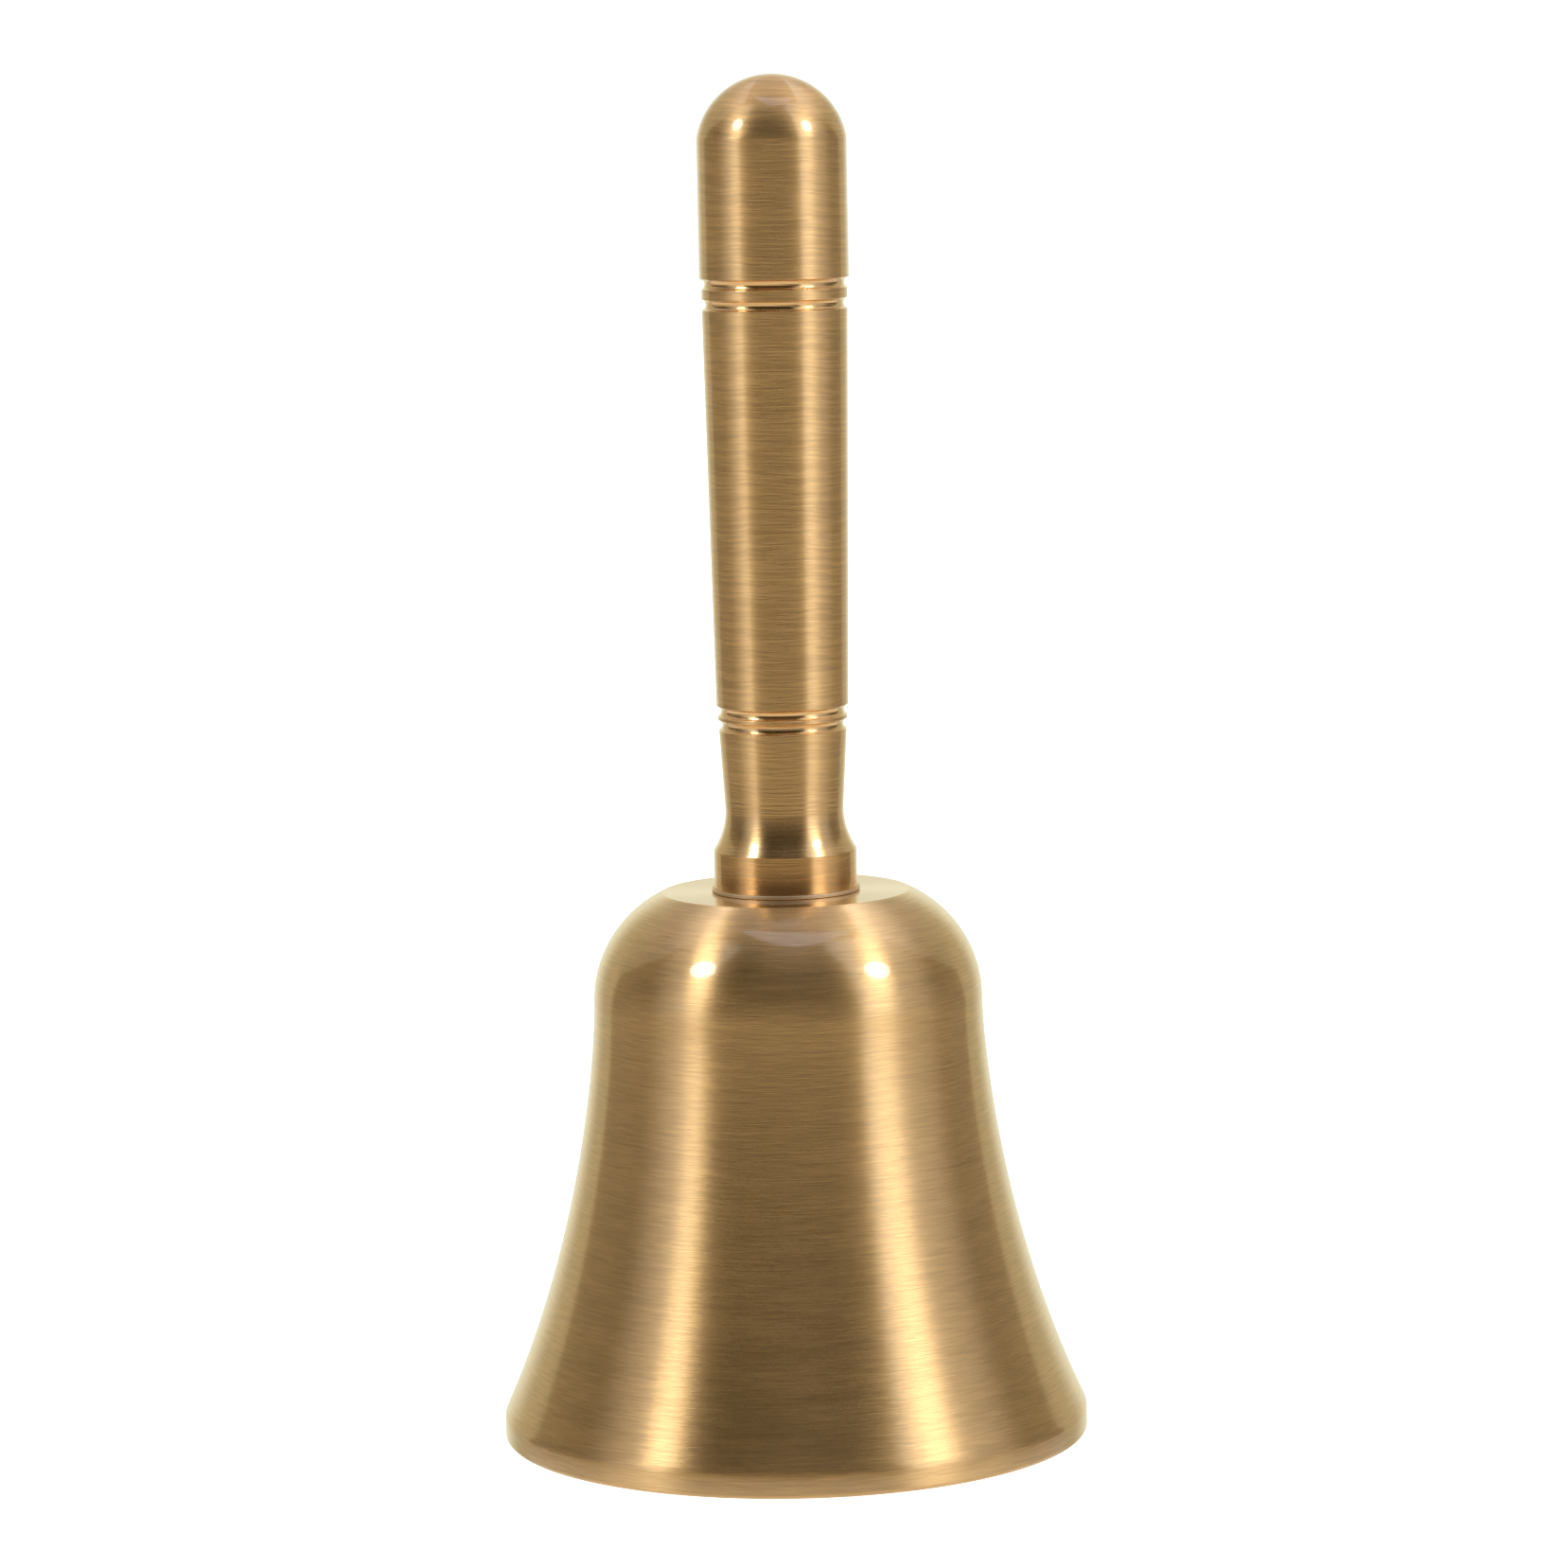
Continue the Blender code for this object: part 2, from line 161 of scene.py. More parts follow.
class FittingSizes(PropertyGroup):
    thread_radius: length("Thread radius", "Outer radius of the stud's thread", 2.5 * MM)
    thread_depth: length("Thread depth", "Height of the thread's ridge", 0.5 * MM)
    thread_pitch: length("Thread pitch", "Rise of the thread in one turn", 0.8 * MM)
    eye_ring: length("Eye ring", "Radius to the middle of the stud's eye", 2.9 * MM)
    eye_wire: length("Eye wire", "Radius of the stud's eye wire", 1.1 * MM)
    link_ring: length("Link ring", "Radius to the middle of the link's wire", 3.6 * MM)
    link_wire: length("Link wire", "Radius of the link's wire", 0.8 * MM)
    link_opening: angle("Link opening", "Gap between the ends of the link's wire", 2.0)
    clapper_ring: length("Clapper ring", "Radius to the middle of the clapper's eye", 2.5 * MM)
    clapper_wire: length("Clapper wire", "Radius of the clapper's eye wire", 1.0 * MM)
    rod_radius: length("Rod radius", "Radius of the clapper's rod", 1.2 * MM)
    ball_radius: length("Ball radius", "Radius of the clapper's ball", 7.0 * MM)
    ball_gap: length("Ball gap", "Gap round the rod in the ball's hole", 0.2 * MM)
    nut_flats: length("Nut flats", "Distance across the nut's flats", 8.0 * MM)
    nut_turn: angle("Nut turn", "How far the nut has turned on the stud", 7.5)
    nut_chamfer: angle("Nut chamfer", "Slope of the nut's turned corners", 30.0)
    slit: length("Slit", "Gap in the spring washer", 1.0 * MM)
    edge: length("Edge", "Rounding of the fittings' edges", 0.12 * MM)
    crown_washer_edge: length("Crown washer edge", "Rounding of the crown washer's edges", 0.1 * MM)


class Finish(PropertyGroup):
    brass: colour("Brass", "Colour of the brushed brass", (0.88, 0.57, 0.245))
    line_shade: number("Line shade", "Brightness of the darker brush lines", 0.81)
    cast_brass: colour("Inner brass", "Colour of the duller brass inside the bell", (0.60, 0.42, 0.20))
    steel: colour("Plate", "Colour of the plated steel fittings", (0.70, 0.70, 0.68))
    foot_brass: colour("Foot brass", "Colour of the handle's foot", (0.95, 0.545, 0.19))
    # The washer's pale colour is a painted highlight: it stands in for the bright line under the foot
    washer_brass: colour("Washer brass", "Colour of the washer at the crown, pale as a painted highlight", (0.95, 0.76, 0.53))
    polished_brass: colour("Polished brass", "Colour of the bright-turned brass", (0.86, 0.55, 0.235))
    line_width: length("Line width", "Width of one brush line", 0.1 * MM)
    line_length: length("Line length", "Length of one brush line", 2.0 * MM)
    line_depth: length("Line depth", "Depth of the brush lines", 0.03 * MM)
    satin: number("Satin", "Roughness of the brushed bell", 0.33)
    handle_satin: number("Handle satin", "Roughness of the brushed handle", 0.4)
    handle_streak: number("Handle streak", "How far the handle's brushing draws out a highlight", 0.85)


class StageSizes(PropertyGroup):
    camera_distance: length("Camera distance", "Distance of the camera from the bell's axis", 0.5452)
    camera_height: length("Camera height", "Height of the camera above the floor", 0.1308)
    aim_height: length("Aim height", "Height on the axis that the camera points at", 0.06279)
    camera_roll: angle("Camera roll", "How far the camera leans to its side", 1.13)
    lens: FloatProperty(name="Lens", description="Focal length in mm", default=132.33, unit="CAMERA")
    lamp_distance: length("Lamp distance", "Distance of the side lamps from the bell", 1.1)
    lamp_aim: length("Lamp aim", "Height on the axis that the side lamps face", 0.06)
    lamp_width: length("Lamp width", "Width of each side lamp", 0.29)
    lamp_brightness: number("Lamp brightness", "How bright the side lamps look", 7.5)
    floor_radius: length("Floor radius", "Radius of the pale floor", 3.0)
    floor_drop: length("Floor drop", "How far the floor lies below the rim", 0.02 * MM)


# Outlines: lists of (radius, height, polish), where polish is -1 for matt, 0 for brushed and 1 for polished


def arc(centre, radius, start, end, steps, polish=0.0):
    """Points on an arc, by angle from the outward direction, in radians."""
    points = []
    for i in range(steps + 1):
        turn = start + (end - start) * i / steps
        points.append((centre[0] + radius * math.cos(turn), centre[1] + radius * math.sin(turn), polish))
    return points


def bezier(start, pull_start, pull_end, end, steps):
    """Points on a cubic curve, leaving out its first."""
    corners = [Vector(p) for p in (start, pull_start, pull_end, end)]
    points = []
    for i in range(1, steps + 1):
        t = i / steps
        weights = ((1 - t) ** 3, 3 * t * (1 - t) ** 2, 3 * t * t * (1 - t), t**3)
        point = sum((w * c for w, c in zip(weights, corners)), Vector((0.0, 0.0)))
        points.append((point.x, point.y, 0.0))
    return points


def softened(points, size, steps=4):
    """Rounds each corner of an outline and puts a guard point beyond each end of the rounding."""
    result = [points[0]]
    for before, corner, after in zip(points, points[1:], points[2:]):
        here = Vector(corner[:2])
        back = Vector(before[:2]) - here
        ahead = Vector(after[:2]) - here
        turn = math.pi - back.angle(ahead)
        if turn < SOFT_TURN:
            result.append(corner)
            continue
        reach = min(size * math.tan(turn / 2), back.length * 0.4, ahead.length * 0.4)
        start = here + back.normalized() * reach
        end = here + ahead.normalized() * reach
        guard = min(reach * 1.25, back.length * 0.45, ahead.length * 0.45)
        result.append((*(here + back.normalized() * guard), before[2]))
        for i in range(steps + 1):
            t = i / steps
            point = (1 - t) ** 2 * start + 2 * t * (1 - t) * here + t * t * end
            result.append((point.x, point.y, before[2] + (after[2] - before[2]) * t))
        result.append((*(here + ahead.normalized() * guard), after[2]))
    result.append(points[-1])
    return result


# Mesh helpers


def closed_mesh(bm):
    """Merges doubled points and turns every face outwards."""
    bmesh.ops.remove_doubles(bm, verts=bm.verts, dist=MERGE)
    bmesh.ops.dissolve_degenerate(bm, edges=bm.edges, dist=MERGE / 2)
    bmesh.ops.recalc_face_normals(bm, faces=bm.faces)


def spin_outline(bm, points, segments, ends_meet, turn=math.tau, rise=0.0):
    """Spins an outline round the axis, and keeps the run along it and its polish on each point."""
    run_layer = bm.verts.layers.float.get("run") or bm.verts.layers.float.new("run")
    polish_layer = bm.verts.layers.float.get("polish") or bm.verts.layers.float.new("polish")
    verts = []
    run = 0.0
    for i, (radius, height, polish) in enumerate(points):
        if i:
            run += math.dist(points[i - 1][:2], (radius, height))
        vert = bm.verts.new((radius, 0.0, height))
        vert[run_layer] = run
        vert[polish_layer] = polish
        verts.append(vert)
    pairs = list(zip(verts, verts[1:]))
    if ends_meet:
        pairs.append((verts[-1], verts[0]))
    edges = [bm.edges.new(pair) for pair in pairs]
    full = turn >= math.tau - MERGE and rise == 0.0
    bmesh.ops.spin(
        bm,
        geom=verts + edges,
        cent=(0.0, 0.0, 0.0),
        axis=(0.0, 0.0, 1.0),
        dvec=(0.0, 0.0, rise / segments),
        angle=turn,
        steps=segments,
        use_merge=full,
    )


def wire_ring(bm, height, ring_radius, wire_radius, turned, opening=0.0):
    """A round wire bent into a ring on edge round a point on the axis, with capped ends if it is open."""
    section = bmesh.ops.create_circle(bm, cap_ends=False, segments=WIRE_FACETS, radius=wire_radius)["verts"]
    edges = list({edge for vert in section for edge in vert.link_edges})
    bmesh.ops.rotate(bm, verts=section, cent=(0, 0, 0), matrix=Matrix.Rotation(math.pi / 2, 3, "X"))
    bmesh.ops.translate(bm, verts=section, vec=(ring_radius, 0.0, 0.0))
    if opening:
        bmesh.ops.rotate(bm, verts=section, cent=(0, 0, 0), matrix=Matrix.Rotation(opening / 2, 3, "Z"))
    made = bmesh.ops.spin(
        bm,
        geom=section + edges,
        cent=(0.0, 0.0, 0.0),
        axis=(0.0, 0.0, 1.0),
        angle=math.tau - opening,
        steps=EYE_FACETS,
        use_merge=not opening,
    )
    if opening:
        last = [item for item in made["geom_last"] if isinstance(item, bmesh.types.BMEdge)]
        bmesh.ops.holes_fill(bm, edges=edges + last)
    ring = {vert for vert in bm.verts if vert.is_valid and vert.link_faces and not vert.tag}
    stand = Matrix.Rotation(math.pi / 2, 4, "X")
    turn = Matrix.Rotation(turned, 4, "Z")
    place = Matrix.Translation((0.0, 0.0, height)) @ turn @ stand
    bmesh.ops.transform(bm, matrix=place, verts=list(ring))
    for vert in ring:
        vert.tag = True


def finish_piece(bm, name, body, nodes, materials):
    """Turns a bmesh into a piece that rides on a body and stands for CAD nodes."""
    closed_mesh(bm)
    for face in bm.faces:
        face.smooth = True
    mesh = bpy.data.meshes.new(name)
    bm.to_mesh(mesh)
    bm.free()
    mesh.set_sharp_from_angle(angle=CREASE)
    for material in materials:
        mesh.materials.append(material)
    piece = bpy.data.objects.new(name, mesh)
    bpy.context.scene.collection.objects.link(piece)
    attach(piece, body)
    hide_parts(*nodes)
    return piece


# Node helpers


class Nodes:
    """Adds and links nodes in one tree, from left to right."""

    def __init__(self, tree):
        self.tree = tree

    def add(self, kind, inputs=None, **settings):
        node = self.tree.nodes.new(kind)
        node.location = (200 * (len(self.tree.nodes) % 12) - 1200, -170 * (len(self.tree.nodes) // 12))
        for key, value in settings.items():
            setattr(node, key, value)
        for key, value in (inputs or {}).items():
            self.put(node.inputs[key], value)
        return node

    def put(self, socket, value):
        if isinstance(value, bpy.types.NodeSocket):
            self.tree.links.new(value, socket)
        else:
            socket.default_value = value

    def math(self, operation, *values):
        return self.add("ShaderNodeMath", dict(enumerate(values)), operation=operation).outputs[0]

    def remap(self, value, low, high, to_low=0.0, to_high=1.0, smooth=False):
        kind = "SMOOTHSTEP" if smooth else "LINEAR"
        inputs = {"Value": value, "From Min": low, "From Max": high, "To Min": to_low, "To Max": to_high}
        return self.add("ShaderNodeMapRange", inputs, interpolation_type=kind).outputs["Result"]

    def mix_colour(self, factor, first, second, blend="MIX"):
        node = self.add("ShaderNodeMix", data_type="RGBA", blend_type=blend)
        self.put(node.inputs[0], factor)
        self.put(node.inputs[6], first)
        self.put(node.inputs[7], second)
        return node.outputs[2]

    def noise(self, vector, scale=1.0, detail=2.0, roughness=0.5):
        inputs = {"Vector": vector, "Scale": scale, "Detail": detail, "Roughness": roughness}
        return self.add("ShaderNodeTexNoise", inputs).outputs["Fac"]


def new_group(name, inputs, outputs):
    """An empty shader node group with these (name, default) inputs and output names."""
    group = bpy.data.node_groups.new(name, "ShaderNodeTree")
    for label, default in inputs:
        socket = group.interface.new_socket(name=label, in_out="INPUT", socket_type="NodeSocketFloat")
        socket.default_value = default
    for label in outputs:
        group.interface.new_socket(name=label, in_out="OUTPUT", socket_type="NodeSocketFloat")
    nodes = Nodes(group)
    return group, nodes, nodes.add("NodeGroupInput"), nodes.add("NodeGroupOutput")


def place_group(nodes, group, **inputs):
    node = nodes.add("ShaderNodeGroup", node_tree=group)
    for label, value in inputs.items():
        nodes.put(node.inputs[label.replace("_", " ")], value)
    return node


def brush_lines_group():
    """Fine lines round the axis: a height for bump, and masks for lines, bands and whole rings."""
    name = "Brush lines"
    if name in bpy.data.node_groups:
        return bpy.data.node_groups[name]
    inputs = (("Line width", 0.0001), ("Line length", 0.0035), ("Wander", 0.0001))
    outputs = ("Height", "Lines", "Bands", "Rings")
    group, nodes, start, end = new_group(name, inputs, outputs)
    place = nodes.add("ShaderNodeTexCoord").outputs["Object"]
    parts = nodes.add("ShaderNodeSeparateXYZ", {0: place})
    run = nodes.add("ShaderNodeAttribute", attribute_name="run").outputs["Fac"]
    slow = nodes.noise(place, scale=60.0, detail=1.0)
    wander = nodes.math("MULTIPLY", nodes.math("SUBTRACT", slow, 0.5), start.outputs["Wander"])
    run = nodes.math("ADD", run, wander)

    def lines(width, reach, detail, shift):
        x = nodes.math("DIVIDE", parts.outputs[0], reach)
        y = nodes.math("DIVIDE", parts.outputs[1], reach)
        z = nodes.math("ADD", nodes.math("DIVIDE", run, width), shift)
        vector = nodes.add("ShaderNodeCombineXYZ", {0: x, 1: y, 2: z}).outputs[0]
        return nodes.noise(vector, detail=detail)

    width = start.outputs["Line width"]
    reach = start.outputs["Line length"]
    fine = lines(width, reach, 2.0, 0.0)
    middle = lines(nodes.math("MULTIPLY", width, 2.4), nodes.math("MULTIPLY", reach, 2.5), 1.0, 31.0)
    broad = lines(nodes.math("MULTIPLY", width, 16.0), nodes.math("MULTIPLY", reach, 5.0), 1.0, 57.0)
    rings = lines(nodes.math("MULTIPLY", width, 2.0), 1.0, 2.0, 11.0)
    height = nodes.math("ADD", nodes.math("MULTIPLY", fine, 0.7), nodes.math("MULTIPLY", middle, 0.5))
    nodes.put(end.inputs["Height"], height)
    both = nodes.math("MULTIPLY", nodes.math("ADD", fine, middle), 0.5)
    nodes.put(end.inputs["Lines"], both)
    nodes.put(end.inputs["Bands"], broad)
    nodes.put(end.inputs["Rings"], rings)
    return group


# Finishes

NOISE_SPAN = (0.3, 0.7)  # nearly all of a noise's values lie in this span
LINE_SPREAD = 0.12  # how far from the middle the brush lines' tone reaches its ends
BAND_SHADES = (0.965, 1.02)
SATIN_CHANGE = 0.015
MATT_ROUGHNESS = 0.25  # added where the brass is matt
POLISHED_ROUGHNESS = 0.2
RING_DEPTH = 2.5  # depth of the rings on polished brass, beside that of the brush lines


def new_material(name):
    material = bpy.data.materials.new(name)
    material.use_nodes = True
    nodes = Nodes(material.node_tree)
    return material, nodes, material.node_tree.nodes["Principled BSDF"]


def shared(name, make, *args):
    """The material of this name, made the first time it is asked for."""
    return bpy.data.materials.get(name) or make(name, *args)


def opaque(tint, shade=1.0):
    """A tint times a shade, with full alpha."""
    return (*(c * shade for c in tint), 1.0)


def lacquered_brass(name, finish, tint, satin, coarse, wander, contrast, streak=1.0):
    """Brushed brass under clear lacquer, bright-turned where the polish attribute says so.

    Satin is the brushing's roughness. Coarse scales the brush lines, wander bends them, and contrast is
    how strongly they show. Streak is how far they draw a highlight out across themselves.
    """
    material, nodes, shader = new_material(name)
    lines = place_group(
        nodes,
        brush_lines_group(),
        Line_width=finish.line_width * coarse,
        Line_length=finish.line_length * coarse,
        Wander=wander,
    )
    polish = nodes.add("ShaderNodeAttribute", attribute_name="polish").outputs["Fac"]
    brushed = nodes.remap(polish, 0.0, 1.0, 1.0, 0.0)
    bright = nodes.remap(polish, 0.0, 1.0)
    spread = LINE_SPREAD / contrast
    tone = nodes.remap(lines.outputs["Lines"], 0.5 - spread, 0.5 + spread)
    brass = nodes.mix_colour(tone, opaque(tint, finish.line_shade), opaque(tint))
    brass = nodes.mix_colour(bright, brass, opaque(finish.polished_brass))
    bands = nodes.remap(lines.outputs["Bands"], *NOISE_SPAN, *BAND_SHADES)
    shade = nodes.add("ShaderNodeCombineColor", {0: bands, 1: bands, 2: bands}).outputs[0]
    nodes.put(shader.inputs["Base Color"], nodes.mix_colour(1.0, brass, shade, "MULTIPLY"))
    rough = nodes.remap(lines.outputs["Bands"], *NOISE_SPAN, satin - SATIN_CHANGE, satin + SATIN_CHANGE)
    rough = nodes.math("ADD", rough, nodes.remap(polish, -1.0, 0.0, MATT_ROUGHNESS, 0.0))
    smooth = nodes.math("MULTIPLY", bright, POLISHED_ROUGHNESS)
    rough = nodes.math("ADD", nodes.math("MULTIPLY", rough, brushed), smooth)
    nodes.put(shader.inputs["Roughness"], rough)
    height = nodes.math("MULTIPLY", lines.outputs["Height"], brushed)
    ringed = nodes.math("MULTIPLY", lines.outputs["Rings"], nodes.math("MULTIPLY", bright, RING_DEPTH))
    height = nodes.math("ADD", height, ringed)
    bump = {"Height": height, "Strength": 1.0, "Distance": finish.line_depth * coarse}
    nodes.put(shader.inputs["Normal"], nodes.add("ShaderNodeBump", bump).outputs["Normal"])
    shader.inputs["Metallic"].default_value = 1.0
    shader.inputs["Anisotropic"].default_value = streak
    shader.inputs["Anisotropic Rotation"].default_value = 0.25
    shader.inputs["Coat Weight"].default_value = 1.0
    shader.inputs["Coat Roughness"].default_value = 0.08
    shader.inputs["Coat IOR"].default_value = 1.7
    return material


def turned_metal(name, tint, roughness, finish, line_scale=1.0, depth=0.01 * MM):
    """Bare turned metal with tool lines round the axis."""
    material, nodes, shader = new_material(name)
    lines = place_group(
        nodes,
        brush_lines_group(),
        Line_width=finish.line_width * 1.6 * line_scale,
        Line_length=finish.line_length * 3.0,
        Wander=0.05 * MM,
    )
    tone = nodes.remap(lines.outputs["Lines"], *NOISE_SPAN)
    nodes.put(shader.inputs["Base Color"], nodes.mix_colour(tone, opaque(tint, 0.8), opaque(tint)))
    rough = nodes.remap(lines.outputs["Bands"], *NOISE_SPAN, roughness * 0.85, roughness * 1.15)
    nodes.put(shader.inputs["Roughness"], rough)
    bump = {"Height": lines.outputs["Height"], "Strength": 0.5, "Distance": depth}
    nodes.put(shader.inputs["Normal"], nodes.add("ShaderNodeBump", bump).outputs["Normal"])
    shader.inputs["Metallic"].default_value = 1.0
    return material


def plated_steel(name, finish):
    """Bright zinc plate, slightly mottled."""
    material, nodes, shader = new_material(name)
    place = nodes.add("ShaderNodeTexCoord").outputs["Object"]
    mottle = nodes.noise(place, scale=900.0, detail=3.0)
    plate = nodes.mix_colour(mottle, opaque(finish.steel, 0.85), opaque(finish.steel))
    nodes.put(shader.inputs["Base Color"], plate)
    nodes.put(shader.inputs["Roughness"], nodes.remap(mottle, *NOISE_SPAN, 0.2, 0.34))
    fine = nodes.noise(place, scale=6000.0, detail=2.0)
    bump = {"Height": fine, "Strength": 0.3, "Distance": 0.01 * MM}
    nodes.put(shader.inputs["Normal"], nodes.add("ShaderNodeBump", bump).outputs["Normal"])
    shader.inputs["Metallic"].default_value = 1.0
    return material


def bell_brass(finish):
    brushing = (finish, finish.brass, finish.satin, 1.0, 0.3 * MM, 1.0)
    return shared("Brushed bell brass", lacquered_brass, *brushing)


def inner_brass(finish):
    """The duller, coarsely turned brass inside the bell."""
    return shared("Inner brass", turned_metal, finish.cast_brass, 0.42, finish, 2.0, 0.03 * MM)


def clapper_brass(finish):
    return shared("Clapper brass", turned_metal, finish.brass, 0.25, finish)


def fitting_steel(finish):
    return shared("Plated steel", plated_steel, finish)


def handle_brushing(finish):
    return lacquered_brass, finish, finish.brass, finish.handle_satin, 1.3, 2.0 * MM, 1.5


def handle_brass(finish):
    return shared("Brushed handle brass", *handle_brushing(finish), finish.handle_streak)


def dome_brass(finish, step):
    """The handle's brass where the brushing loses its direction, step by step up the dome."""
    streak = finish.handle_streak * (1.0 - step / (DOME_STEPS + 1))
    return shared(f"Brushed dome brass {step}", *handle_brushing(finish), streak)


def foot_brass(finish):
    """The redder brass of the turned foot."""
    brushing = (finish, finish.foot_brass, finish.satin, 1.3, 0.3 * MM, 1.8, finish.handle_streak)
    return shared("Turned foot brass", lacquered_brass, *brushing)


def washer_brass(finish):
    """The washer at the crown, in brass lightened to a pale, matt painted highlight that stands in for the
    bright line under the foot.
    """
    return shared("Pale washer brass", turned_metal, finish.washer_brass, 0.5, finish)


# Bell


def bell_outside(sizes):
    """From the bore in the crown, over the shoulder and down the flare to the rim."""
    centre = (sizes.shoulder_out, sizes.shoulder_up)
    start = math.asin((sizes.crown_height - sizes.shoulder_up) / sizes.shoulder_radius)
    flat_edge = centre[0] + sizes.shoulder_radius * math.cos(start)
    points = [(sizes.bore, sizes.crown_height, CROWN_POLISH)]
    points.append((flat_edge - POLISH_FADE, sizes.crown_height, CROWN_POLISH))
    points += arc(centre, sizes.shoulder_radius, start, 0.0, 48)
    waist = points[-1]
    turn_drop = sizes.lip_turn * math.sin(sizes.flare_angle)
    turn_reach = sizes.lip_turn * (1 - math.cos(sizes.flare_angle))
    flare_end = (sizes.lip_radius - turn_reach, sizes.lip_top)
    pull_top = (waist[0], waist[1] - sizes.flare_pull_top)
    pull_bottom = (
        flare_end[0] - sizes.flare_pull_bottom * math.sin(sizes.flare_angle),
        flare_end[1] + sizes.flare_pull_bottom * math.cos(sizes.flare_angle),
    )
    points += bezier(waist[:2], pull_top, pull_bottom, flare_end, 60)
    turn_centre = (sizes.lip_radius - sizes.lip_turn, sizes.lip_top - turn_drop)
    points += arc(turn_centre, sizes.lip_turn, sizes.flare_angle, 0.0, 8)[1:]
    edge_centre = (sizes.lip_radius - sizes.edge, sizes.edge)
    points += arc(edge_centre, sizes.edge, 0.0, -math.pi / 2, 8)
    return points


def bell_inside(sizes):
    """From the rim, up the inner wall and over to the bore."""
    rim = sizes.lip_radius - sizes.lip_wall
    chamfer = 0.6 * MM
    mouth = (rim - chamfer / 2, chamfer * 2)
    lean = math.sin(sizes.flare_angle) * 0.95  # the inner wall flares a little less than the outer
    inner_radius = sizes.shoulder_radius - sizes.waist_wall
    centre = (sizes.shoulder_out, sizes.shoulder_up)
    waist = (centre[0] + inner_radius, centre[1])
    pull_bottom = (
        mouth[0] - sizes.flare_pull_bottom * lean,
        mouth[1] + sizes.flare_pull_bottom * math.cos(sizes.flare_angle),
    )
    pull_top = (waist[0], waist[1] - sizes.flare_pull_top)
    underside = sizes.crown_height - sizes.crown_wall
    points = [(rim, 0.0, 0.0), (*mouth, 0.0)]
    points += bezier(mouth, pull_bottom, pull_top, waist, 40)
    end = math.asin((underside - centre[1]) / inner_radius)
    points += arc(centre, inner_radius, 0.0, end, 20)[1:]
    points.append((sizes.bore, underside, 0.0))
    return points


class HANDBELL_OT_bell(Operator):
    """Make the bell's shell"""

    bl_idname = "handbell.bell"
    bl_label = "Bell"

    def execute(self, context):
        sizes = context.scene.handbell_bell
        finish = context.scene.handbell_finish
        outside = softened(bell_outside(sizes), 0.25 * MM)
        inside = softened(bell_inside(sizes), 0.2 * MM)
        bm = bmesh.new()
        spin_outline(bm, outside + inside, sizes.facets, ends_meet=True)
        run = bm.verts.layers.float["run"]
        rim_run = sum(math.dist(a[:2], b[:2]) for a, b in zip(outside, outside[1:]))
        for face in bm.faces:
            if min(vert[run] for vert in face.verts) > rim_run - MERGE:
                face.material_index = 1
        materials = [bell_brass(finish), inner_brass(finish)]
        finish_piece(bm, "bell", "bell", ["bell_shell"], materials)
        return {"FINISHED"}


# Handle


def dome_polish(share):
    """Brushed low on the dome, then more and more matt up to its top, where share is 1."""
    return min(0.0, 0.4 - 1.4 * share)


def groove(sizes, centre, above, below):
    """A round-bottomed groove between two radii, from its upper edge to its lower one."""
    radius = (above + below) / 2
    middle = (radius - sizes.groove_depth + sizes.groove_radius, centre)
    reach = math.acos(1 - sizes.groove_depth / sizes.groove_radius)
    points = arc(middle, sizes.groove_radius, math.pi - reach, math.pi + reach, 12, 1.0)
    top, bottom = points[0][1], points[-1][1]
    points[0] = (above, top, 1.0)
    points[-1] = (below, bottom, 1.0)
    return [(above, top + GROOVE_FADE, 0.0), *points, (below, bottom - GROOVE_FADE, 0.0)]


def handle_outline(sizes):
    """From the top of the dome down to the foot, and back up the tapped hole."""
    dome_centre = (0.0, sizes.top - sizes.dome_radius)
    dome_end = math.acos(sizes.knob_radius / sizes.dome_radius)
    dome = arc(dome_centre, sizes.dome_radius, math.pi / 2, dome_end, 40)
    matt = [(x, z, dome_polish((z - dome_centre[1]) / sizes.dome_radius)) for x, z, _ in dome]
    points = [(0.0, sizes.top, -1.0), *matt[1:]]
    points += groove(sizes, sizes.upper_groove, sizes.knob_radius, sizes.grip_top)
    points += groove(sizes, sizes.upper_groove - sizes.upper_pitch, sizes.grip_top, sizes.grip_top)
    points += groove(sizes, sizes.lower_groove, sizes.grip_bottom, sizes.lower_land)
    points += groove(sizes, sizes.lower_groove - sizes.lower_pitch, sizes.lower_land, sizes.neck_top)
    sweep_centre = (sizes.neck + sizes.sweep, sizes.neck_height)
    points += arc(sweep_centre, sizes.sweep, math.pi, math.pi + sizes.sweep_angle, 20, SWEEP_POLISH)
    sharpener = 0.03 * MM  # a point this near the foot's lower edge keeps it sharp
    for height in (sizes.foot_height, sharpener, 0.0):
        points.append((sizes.foot_radius, sizes.bottom + height, FOOT_POLISH))
    points.append((sizes.hole_radius, sizes.bottom, FOOT_POLISH))
    points.append((sizes.hole_radius, sizes.bottom + sizes.hole_depth, 0.0))
    point_depth = sizes.hole_radius / math.tan(DRILL_POINT)
    points.append((0.0, sizes.bottom + sizes.hole_depth + point_depth, 0.0))
    return points


